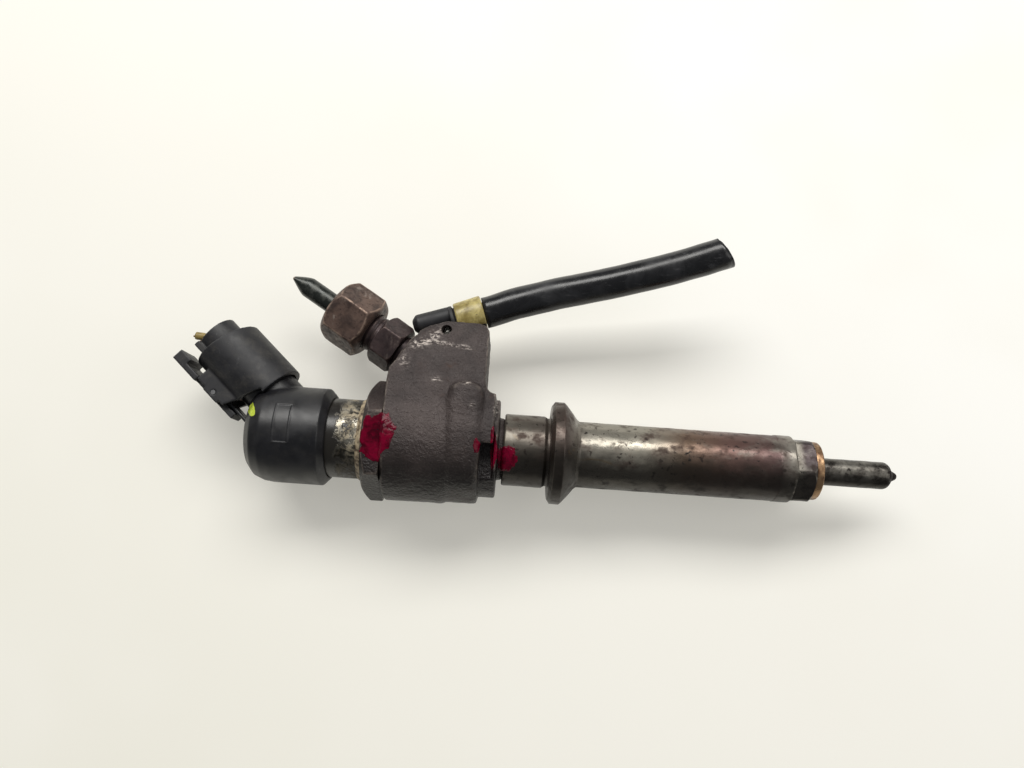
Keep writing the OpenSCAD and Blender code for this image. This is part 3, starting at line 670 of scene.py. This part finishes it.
def soften(points, radius, steps=5):
    """Rounds the corners of an open outline of (x, r) points."""
    out = [Vector(points[0])]
    for before, here, after in zip(points, points[1:], points[2:]):
        before, here, after = Vector(before), Vector(here), Vector(after)
        back = min(radius, 0.45 * (before - here).length)
        ahead = min(radius, 0.45 * (after - here).length)
        start = here + (before - here).normalized() * back
        end = here + (after - here).normalized() * ahead
        for i in range(steps + 1):
            t = i / steps
            out.append((1 - t) ** 2 * start + 2 * t * (1 - t) * here + t * t * end)
    out.append(Vector(points[-1]))
    return out


def resample(points, step):
    """Splits long stretches so that displacement has points to move."""
    out = [points[0]]
    for a, b in zip(points, points[1:]):
        n = max(1, math.ceil((b - a).length / step))
        out += [a.lerp(b, i / n) for i in range(1, n + 1)]
    return out


def turned(name, points, place, body, mat, nodes=(), radius=0.4, step=0.8,
           around=160, shape=None, rough=0.0, grain=0.25):
    """A turned piece: (x, r) points about the place's X, rounded, with optional shape(x, r, a)."""
    line = resample(soften(points, radius), step)
    verts, rings, faces = [], [], []
    for x, r in line:
        if r < 1e-4:
            rings.append([len(verts)] * around)
            verts.append((x, 0, 0))
            continue
        ring = []
        for j in range(around):
            a = 2 * math.pi * j / around
            rr = shape(x, r, a) if shape else r
            if rough:
                rr += rough * noise.noise(Vector((x, rr * math.cos(a), rr * math.sin(a))) * grain)
            ring.append(len(verts))
            verts.append((x, rr * math.cos(a), rr * math.sin(a)))
        rings.append(ring)
    for ring, after in zip(rings, rings[1:]):
        for j in range(around):
            k = (j + 1) % around
            face = [ring[j], ring[k], after[k], after[j]]
            face = [v for i, v in enumerate(face) if v != face[i - 1]]
            if len(face) > 2:
                faces.append(face)
    return make(name, verts, faces, place, body, mat, nodes)


def hexagon(flats, turn, sharp=46):
    """Radius of a hexagon with worn corners at angle a; flats is the width across flats."""
    def radius(a):
        total = sum(max(0.0, math.cos(a - turn - math.radians(60 * k))) ** sharp
                    for k in range(6))
        return flats / 2 / total ** (1 / sharp)
    return radius


def soft_min(a, b, k=0.35):
    """The smaller of a and b, rounded over k where they cross."""
    h = max(k - abs(a - b), 0.0) / k
    return min(a, b) - h * h * k / 4


def worn_copy(name, node, voxel, smooth, body, mat, shaping=None):
    """A CAD node remeshed, so that every edge is rounded as casting or wear leaves it.

    shaping(data, points, normals) in mm returns the moved points and the marks to store.
    """
    bm = bmesh.new()
    bm.from_mesh(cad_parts[node].data)
    data = bpy.data.meshes.new(name)
    bm.to_mesh(data)
    bm.free()
    rough = bpy.data.objects.new(name + "_rough", data)
    bpy.context.scene.collection.objects.link(rough)
    remesh = rough.modifiers.new("remesh", "REMESH")
    remesh.mode = "VOXEL"
    remesh.voxel_size = voxel * MM
    relax = rough.modifiers.new("smooth", "SMOOTH")
    relax.factor = 0.5
    relax.iterations = smooth
    graph = bpy.context.evaluated_depsgraph_get()
    done = bpy.data.meshes.new_from_object(rough.evaluated_get(graph))
    bpy.data.objects.remove(rough)
    marks = {}
    if shaping:
        points = read(done, "co") / MM
        points, marks = shaping(done, points, read(done, "normal"))
        done.vertices.foreach_set("co", (points * MM).ravel())
    piece = finish_piece(name, done, body, mat, (node,))
    for mark, values in marks.items():
        store(piece.data, mark, values)


def swept(route, radius, around, ring_shape=None):
    """Points and faces of a closed tube along a route in mm; ring_shape(t, a) -> (u, w)."""
    n = len(route)
    verts, faces = [], []
    for i, p in enumerate(route):
        ahead = (route[min(i + 1, n - 1)] - route[max(i - 1, 0)]).normalized()
        side = Vector((0, 0, 1)).cross(ahead).normalized()
        lift = ahead.cross(side)
        for j in range(around):
            a = 2 * math.pi * j / around
            u, w = ring_shape(i / (n - 1), a) if ring_shape else (math.cos(a), math.sin(a))
            verts.append(p + side * u * radius + lift * w * radius)
    for i in range(n - 1):
        for j in range(around):
            k = (j + 1) % around
            faces.append([i * around + j, i * around + k, (i + 1) * around + k,
                          (i + 1) * around + j])
    return verts, faces


def smooth_route(points, per):
    """Catmull-Rom curve through the points, per steps between each two."""
    pts = [Vector(p) for p in points]
    pts = [2 * pts[0] - pts[1], *pts, 2 * pts[-1] - pts[-2]]
    out = []
    for a, b, c, d in zip(pts, pts[1:], pts[2:], pts[3:]):
        for i in range(per):
            t = i / per
            out.append(0.5 * (2 * b + (c - a) * t + (2 * a - 5 * b + 4 * c - d) * t * t
                              + (3 * b - a - 3 * c + d) * t ** 3))
    out.append(pts[-2])
    return out


# ---------- pieces ----------


def nozzle(mats):
    stem_r, tip = 3.5, 21.4
    turned("nozzle_stem", [(-5.05, 0), (-5.05, stem_r - 0.1), (0, stem_r - 0.1), (0.05, stem_r),
           (tip - 3.5, stem_r), (tip - 2.6, stem_r - 0.6), (tip - 1.7, 1.5),
           (tip - 1, 1.15), (tip - 0.25, 0.7), (tip, 0)],
           AXIS, "injector", mats["nozzle"], ("nozzle_body",),
           radius=0.5, step=0.5, around=96, rough=0.05, grain=0.6)


def retaining_nut(mats):
    """Long nut: barrel, collar and six small flats at its front."""
    flats = hexagon(15.2, math.radians(70), 260)

    def shape(x, r, a):
        if x > -6.9:
            return soft_min(r, flats(a), 0.1)
        return r

    turned("retaining_nut", [
        (-81, 8.5), (-81, 9.0), (-80.6, 9.25), (-70.7, 9.25), (-70, 8.75), (-69.3, 8.75),
        (-69.1, 12.1), (-68.3, 13.2), (-65.9, 13.2), (-65.2, 12.5), (-63.6, 10.6),
        (-62.4, 9.0), (-61.7, 8.5), (-11.3, 8.5), (-11.1, 8.62), (-6.7, 8.62),
        (-6.5, 8.5), (-2.7, 8.5), (-2, 7.9), (-2, 3.8)],
        AXIS, "injector", mats["barrel"], ("nozzle_retaining_nut",),
        radius=0.2, step=0.4, around=240, shape=shape, rough=0.05, grain=0.5)


def washer(mats):
    turned("seat_washer", [(-1.98, 3.8), (-1.98, 7.35), (-1.75, 7.5), (-0.25, 7.5),
           (0, 7.3), (0, 3.8), (-1.98, 3.8)],
           AXIS, "injector", mats["copper"], ("copper_washer",),
           radius=0.2, step=0.3, around=160, rough=0.1, grain=0.5)


# bright nicks in the forging: place, width and height
NICKS = [(-98.8, 15.2, 1.2, 0.5), (-90.9, 14.4, 1.0, 0.45), (-89.1, 9.0, 0.5, 0.5),
         (-107.3, 19.4, 1.0, 1.3)]


def body(mats):
    """Forging: softly blended lug and drum, and a ground step across the fin."""
    def shaping(data, points, normals):
        x, y, z = points.T
        front = step(np.abs(z), 6, 8)
        lug = (step(x, -98.5, -96) * step(x, -84.8, -87.2) * step(y, 20, 17)
               * step(np.hypot(y, z), 12.6, 13.4))
        blend = step(x, -110.4, -108) * step(x, -86, -89) * step(y, 27, 24) * front
        points = melt(data, points, np.maximum(0.75 * lug, 0.35 * blend), 16)
        bulge = (np.exp(-((x + 90.9) / 3.9) ** 6) * step(y, 16.2, 12.8) * step(y, -14.6, -9)
                 * step(np.hypot(y, z), 12.4, 13.2))
        points = points + normals * (0.95 * bulge)[:, None]
        # the face above this slanting line was ground lower
        line = y - (24.4 - 0.11 * (x + 96) - 0.9 * step(x, -99, -104))
        lower = step(line, -0.25, 0.25) * front * step(x, -86.5, -88)
        points = points - normals * (0.22 * lower)[:, None]
        dents = np.array([noise.noise(Vector(p) * 0.3) + 0.6 * noise.noise(Vector(p) * 0.8)
                          for p in points])
        away = step(np.hypot(y, z), 11.9, 12.3)
        points = points + normals * (0.12 * dents * away)[:, None]
        worn = np.exp(-((line - 0.35) / 0.5) ** 2) * front * step(x, -89.5, -92)
        streak = (y - 23.5) - 0.8 * (x + 104.5)
        flank = (np.exp(-(streak / 1.5) ** 2) * step(x, -97.8, -99.5) * step(y, 22.5, 24)
                 * front)
        nick = sum(np.exp(-((y - at_y) / tall) ** 2 - ((x - at_x) / wide) ** 2)
                   for at_x, at_y, wide, tall in NICKS)
        rim = np.exp(-((x + 83.4) / 0.5) ** 2) * step(y, 4, 9)
        # painted shade: the inside of the pocket by the lug is marked, to be painted dark as the
        # shade in it
        pocket = (step(x, -87.6, -87.1) * step(y, 3.5, 3.0) * step(np.abs(z), 11.2, 10.6)
                  * step(np.hypot(y, z), 8.3, 8.6))
        worn = np.clip(worn + 0.9 * flank + 0.9 * nick * front + 0.7 * rim, 0, 1)
        return points, {"scrape": worn, "grime": pocket}

    worn_copy("forged_body", "injector_body", 0.26, 3, "injector",
              mats["forged"], shaping)


def actuator(mats):
    turned("actuator_neck", [(-142, 8.2), (-129, 8.2), (-128, 10.2), (-111.3, 10.2),
           (-111, 11.4), (-105, 11.4)],
           AXIS, "injector", mats["neck"], ("actuator_housing",),
           radius=0.4, step=0.6, around=160)
    flats = hexagon(27, math.radians(90 - 23 + 30), 200)

    def shape(x, r, a):
        return soft_min(r, flats(a), 0.2)

    turned("actuator_hexagon", [(-116, 10.3), (-116, 13.1), (-114.2, 15.7), (-111.4, 15.7),
           (-111.05, 15.2), (-111.05, 10.3)],
           AXIS, "injector", mats["forged"], ("actuator_nut",),
           radius=0.5, step=0.35, around=240, shape=shape, rough=0.08)

    def bead(x, r, a):
        lump = noise.noise(Vector((3 * math.cos(a), 3 * math.sin(a), x)))
        return max(10.22, r + 0.25 * lump)

    turned("sealant_bead", [(-117.6, 10.22), (-117.2, 10.6), (-116.5, 10.95), (-115.9, 11.1),
           (-115.9, 10.3)], AXIS, "injector", mats["sealant"],
           radius=0.3, step=0.15, around=200, shape=bead)


def connector(mats):
    def emboss(data, points, normals):
        """A blank raised frame on the face of the cap, where such caps carry a mark."""
        x, y, z = points.T
        along, across = np.abs(x + 135.7), np.abs(y - 1.6)
        inside = step(along, 2.2, 2.0) * step(across, 5.1, 4.9)
        hole = step(along, 1.85, 1.65) * step(across, 4.75, 4.55)
        rise = 0.2 * (inside - 0.85 * hole) * (z > 6)
        points = melt(data, points, step(x, -128, -131), 8)
        return points + normals * rise[:, None], {}

    worn_copy("cap", "connector_cap", 0.2, 4, "injector",
              mats["cap_plastic"], emboss)
    worn_copy("sleeve", "plug_sleeve", 0.2, 3, "plug", mats["plug_plastic"])
    worn_copy("lock", "lock_lever", 0.16, 3, "lock_lever",
              mats["plug_plastic"])


def inlet(mats):
    stud = hexagon(12, math.radians(-42), 160)
    union = hexagon(15.5, math.radians(-45), 110)

    def stud_shape(x, r, a):
        return soft_min(r, stud(a), 0.15) if -0.1 < x < 6.6 else r

    def thread(x, r, a):
        r = stud_shape(x, r, a)
        if x > 6.9 and r > 4.9:
            r -= 0.28 * (0.5 + 0.5 * math.cos(2 * math.pi * x / 1.5 - a))
        return r

    turned("stud", [(-5, 4.5), (-0.2, 4.5), (-0.2, 6.2), (0.6, 6.95), (5.6, 6.95), (6.4, 6.1),
           (6.4, 5.1), (15.1, 5.1), (15.9, 4.5), (15.9, 4.0)],
           INLET, "injector", mats["stud"], ("inlet_stud",),
           radius=0.3, step=0.22, around=160, shape=thread, rough=0.06)

    def nut_shape(x, r, a):
        return soft_min(r, union(a), 0.3)

    turned("pipe_nut", [(9.4, 5.2), (9.4, 7.2), (10.9, 9.0), (19.1, 9.0), (20.8, 7.3),
           (20.8, 3.6), (20.2, 2.9)],
           INLET, "union_nut", mats["union"], ("union_nut",),
           radius=0.6, step=0.3, around=240, shape=nut_shape, rough=0.12, grain=0.3)
    pipe(mats)


def pipe(mats):
    """Pipe stub whose cut end was pinched flat into a chisel edge."""
    start, pinch, end, radius = 17.6, 30.4, 34.6, 2.74
    n, around = 60, 48
    route = [Vector((start + (end - start) * i / n, 0, 0)) for i in range(n + 1)]
    turn_c, turn_s = math.cos(math.radians(-12)), math.sin(math.radians(-12))

    def ring(t, a):
        x = start + (end - start) * t
        k = max(0.0, min(1.0, (x - pinch) / (end - pinch))) ** 1.3
        wide, thin = math.sin(a) * (1 - 0.15 * k), math.cos(a) * (1 - 0.74 * k)
        return thin * turn_c - wide * turn_s, thin * turn_s + wide * turn_c

    verts, faces = swept(route, radius, around, ring)
    for first in (0, n * around):
        verts.append(sum((verts[first + j] for j in range(around)), Vector()) / around)
        centre = len(verts) - 1
        faces += [[first + j, first + (j + 1) % around, centre] for j in range(around)]
    make("pipe_end", verts, faces, INLET, "pipe", mats["pipe"], ("pipe_stub",))


def leak_off(mats):
    turned("leak_tube", [(-13.9, 0), (-13.9, 1.4), (-12.6, 2.7), (-3.5, 2.7), (-3.5, 1)],
           LEAK @ Matrix.Translation((0, 1.4, 0)), "injector",
           mats["plug_plastic"], radius=0.5, step=0.3, around=96)
    turned("leak_body", [(-3.9, 0), (-3.9, 3.9), (-3.7, 4.1), (-2.9, 4.1), (-2.7, 3.4), (5.1, 3.4),
           (5.3, 2.8), (12.6, 2.8), (13, 2.4), (13, 1.7)],
           LEAK, "injector", mats["plug_plastic"], ("leak_connector",),
           radius=0.3, step=0.3, around=96)
    worn_copy("collar", "retaining_collar", 0.16, 4, "injector",
              mats["khaki"])


def hose(mats):
    """The cut return hose, with its bore open at the slanted far end."""
    outer, bore = 4.2, 2.45
    route = smooth_route(HOSE_ROUTE, 6)
    start = LEAK @ Vector((5.35, 0, 0))
    along = (LEAK.to_3x3() @ Vector((1, 0, 0))).normalized()
    route = [start] + [p for p in route if (p - start).dot(along) > 0.6]
    n, around = len(route), 48

    def wobble(t, a):
        k = 1 + 0.02 * noise.noise(Vector((math.cos(a), math.sin(a), 14 * t)))
        return math.cos(a) * k, math.sin(a) * k

    verts, faces = swept(route, outer, around, wobble)
    inner, inner_faces = swept(route, bore, around)
    end = (route[-1] - route[-2]).normalized()
    for ring_verts, r in ((verts, outer), (inner, bore)):
        base = (n - 1) * around
        for j in range(around):
            a = 2 * math.pi * j / around
            slant = -0.32 * r * math.cos(a) + 0.12 * r * math.sin(a)
            rag = 0.18 * noise.noise(Vector((2 * math.cos(a), 2 * math.sin(a), r)))
            ring_verts[base + j] = ring_verts[base + j] + end * (slant + rag)
    shift = len(verts)
    faces += [[i + shift for i in reversed(f)] for f in inner_faces]
    verts += inner
    for row in (0, n - 1):
        for j in range(around):
            k = (j + 1) % around
            faces.append([row * around + j, row * around + k, shift + row * around + k,
                          shift + row * around + j])
    piece = make("hose", verts, faces, AXIS, "injector", mats["hose"],
                 ("return_hose",))
    path = [tuple(p * MM) for p in route]
    length = sum((b - a).length for a, b in zip(route, route[1:])) * MM
    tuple(path[0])


def wires(mats):
    """Two cut wire stubs, bent out of the back of the plug, with bare strands at their ends."""
    for side, end, key, slot in ((2.05, 28.0, "yellow", "wire_yellow"),
                                 (-2.05, 27.2, "red", "wire_red")):
        across, around = 1.2, 28
        route = smooth_route([(15.3, across, side), (20, across, side), (23, across + 0.3, side),
                              (25.2, across + 1.3, side * 0.85),
                              (end - 0.6, across + 2.9, side * 0.7)], 8)

        def ring(t, a):
            k = 1 + 0.07 * noise.noise(Vector((math.cos(a), math.sin(a), 9 * t + side)))
            return k * math.cos(a), k * math.sin(a)

        verts, faces = swept(route, 1.02, around, ring)
        ahead = (route[-1] - route[-2]).normalized()
        # the cut end is a little hollow
        verts += [v - ahead * 0.25 + (route[-1] - v) * 0.55 for v in verts[-around:]]
        rim, lip = len(verts) - 2 * around, len(verts) - around
        faces += [[rim + j, rim + (j + 1) % around, lip + (j + 1) % around, lip + j]
                  for j in range(around)]
        faces += [list(range(around)), list(range(lip, lip + around))]
        make(slot + "_stub", verts, faces, PLUG, "plug", mats[key], (slot,))
        points, polys = [], []
        for i in range(7):
            a = i * 1.05 + side
            r = 0 if i == 6 else 0.3
            lean = Vector((0, math.cos(a), math.sin(a)))
            tip = route[-1] + ahead * rng.uniform(0.3, 0.75) + lean * (r + 0.12)
            strand = swept([route[-1] - ahead * 0.4 + lean * r, route[-1] + lean * r, tip],
                           0.13, 8)
            polys += [[v + len(points) for v in f] for f in strand[1]]
            points += strand[0]
        make(slot + "_strands", points, polys, PLUG, "plug", mats["copper"])


# ---------- paint marks ----------


def surface_tree(names):
    """A search tree over the shown pieces named, in metres."""
    verts, faces = [], []
    graph = bpy.context.evaluated_depsgraph_get()
    for name in names:
        data = bpy.data.objects[name].evaluated_get(graph).to_mesh()
        shift = len(verts)
        verts += [v.co.copy() for v in data.vertices]
        faces += [[i + shift for i in f.vertices] for f in data.polygons]
    return BVHTree.FromPolygons(verts, faces)


def paint_patch(name, tree, centre, size, turn, thick, mat, seed):
    """A blob of paint laid from above on what lies under centre, with a ragged outline."""
    reach, grid = 2.6, 0.14
    nx, ny = int(reach * size[0] / grid), int(reach * size[1] / grid)
    verts, index, faces = [], {}, []
    for i in range(nx + 1):
        for j in range(ny + 1):
            u = (i / nx - 0.5) * reach
            v = (j / ny - 0.5) * reach
            rag = noise.fractal(Vector((1.5 * u, 1.5 * v, seed)), 0.9, 2.1, 4)
            inside = 1 - math.hypot(u, v) + 0.3 * rag
            if inside <= 0:
                continue
            dx, dy = u * size[0] / 2, v * size[1] / 2
            x = centre[0] + dx * math.cos(turn) - dy * math.sin(turn)
            y = centre[1] + dx * math.sin(turn) + dy * math.cos(turn)
            hit, normal, _, _ = tree.ray_cast(Vector((x, y, 40)) * MM, Vector((0, 0, -1)))
            if hit is None or normal.z < 0.15:
                continue
            rise = thick * min(1.0, inside / 0.22) ** 0.5 * (0.75 + 0.5 * rag)
            rise = max(0.03, rise)
            index[i, j] = len(verts)
            verts.append(hit / MM + normal * rise)
    for (i, j), a in index.items():
        ring = [a, index.get((i + 1, j)), index.get((i + 1, j + 1)), index.get((i, j + 1))]
        if None in ring:
            continue
        if max((verts[p] - verts[q]).length for p in ring for q in ring) > 1.1:
            continue
        faces.append(ring)
    used = sorted({v for f in faces for v in f})
    renumber = {v: k for k, v in enumerate(used)}
    verts = [verts[v] for v in used]
    faces = [[renumber[v] for v in f] for f in faces]
    make(name, verts, faces, AXIS, "injector", mat)


def paint(mats):
    tree = surface_tree(["forged_body", "actuator_hexagon", "actuator_neck", "retaining_nut",
                         "cap", "sealant_bead"])
    for name, centre, size, turn, thick, seed in (
            ("red_mark_a", (-111.9, 0.0), (9.0, 11.0), -0.25, 0.24, 3.1),
            ("red_mark_b", (-83.4, -1.0), (1.7, 9.4), 0.06, 0.2, 8.4),
            ("red_mark_d", (-87.4, -0.9), (1.6, 3.4), 0.1, 0.14, 2.2),
            ("red_mark_c", (-79.9, -2.9), (6.2, 5.8), 0.1, 0.24, 5.7)):
        paint_patch(name, tree, centre, size, turn, thick, mats["red_paint"], seed)
    paint_patch("green_mark", tree, (-144.2, 4.6), (2.2, 4.2), 0.5, 0.12,
                mats["green_paint"], 1.3)


def dress_inner_nodes(mats):
    """Materials for the CAD nodes that stay as they are."""
    by_node = {
        "inner": ["nozzle_needle", "spring_seat", "spring_shim", "spring_housing", "stop_plate",
                  "dowel_pins", "control_piston", "piston_sleeve", "valve_seat_plate",
                  "control_valve", "lever_base_plate", "stroke_lever_a", "stroke_lever_b",
                  "piezo_end_plate", "piezo_foot", "lever_pin", "edge_filter", "thrust_ring"],
        "spring": ["nozzle_spring", "valve_spring", "preload_tube"],
        "piezo": ["piezo_stack"],
        "contact": ["terminal_pins", "plug_terminals", "leak_nipple"],
        "rubber": ["housing_oring", "wire_seals", "connector_oring"],
        "red_rubber": ["plug_seal"],
        "core": ["plug_core"],
    }
    for key, names in by_node.items():
        for name in names:
            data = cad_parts[name].data
            data.materials.clear()
            data.materials.append(mats[key])


def make_materials():
    return {
        "forged": forged_steel(),
        "barrel": barrel_steel(),
        "neck": neck_steel(),
        "nozzle": nozzle_steel(),
        "stud": rusty_steel("stud_steel", (0.024, 0.015, 0.016), (0.052, 0.033, 0.033),
                            0.25, (0.075, 0.05, 0.045)),
        "union": rusty_steel("union_steel", (0.050, 0.032, 0.027), (0.13, 0.084, 0.066),
                             1.0, (0.34, 0.24, 0.185)),
        "pipe": pipe_paint(),
        "copper": copper(),
        "cap_plastic": moulded_plastic("cap_plastic", (0.0055, 0.0055, 0.007), 0.3, 0.38),
        "plug_plastic": moulded_plastic("plug_plastic", (0.007, 0.007, 0.0088), 0.9, 0.5),
        "hose": hose_rubber(),
        "khaki": khaki_plastic(),
        "yellow": wire_plastic("yellow_pvc", (0.30, 0.22, 0.07)),
        "red": wire_plastic("red_pvc", (0.42, 0.10, 0.03)),
        "red_paint": marking_paint("red_paint", (0.15, 0.0, 0.016), (0.045, 0.0, 0.005), 0.26),
        "green_paint": marking_paint("green_paint", (0.50, 0.60, 0.07), (0.32, 0.38, 0.04)),
        "sealant": sealant(),
        "inner": plain_metal("inner_steel", (0.58, 0.57, 0.56), 0.26),
        "spring": plain_metal("spring_wire", (0.36, 0.35, 0.34), 0.32),
        "contact": plain_metal("contact_metal", (0.72, 0.60, 0.34), 0.28),
        "piezo": rubber("piezo_coating", (0.05, 0.08, 0.045)),
        "rubber": rubber("seal_rubber", (0.018, 0.018, 0.018)),
        "red_rubber": rubber("red_seal_rubber", (0.26, 0.05, 0.03)),
        "core": moulded_plastic("core_plastic", (0.07, 0.07, 0.075), 0.2, 0.45),
    }


add_camera()
add_light()
add_table()
MATS = make_materials()
hose(MATS)
nozzle(MATS)
retaining_nut(MATS)
washer(MATS)
body(MATS)
actuator(MATS)
connector(MATS)
inlet(MATS)
leak_off(MATS)
wires(MATS)
paint(MATS)
dress_inner_nodes(MATS)
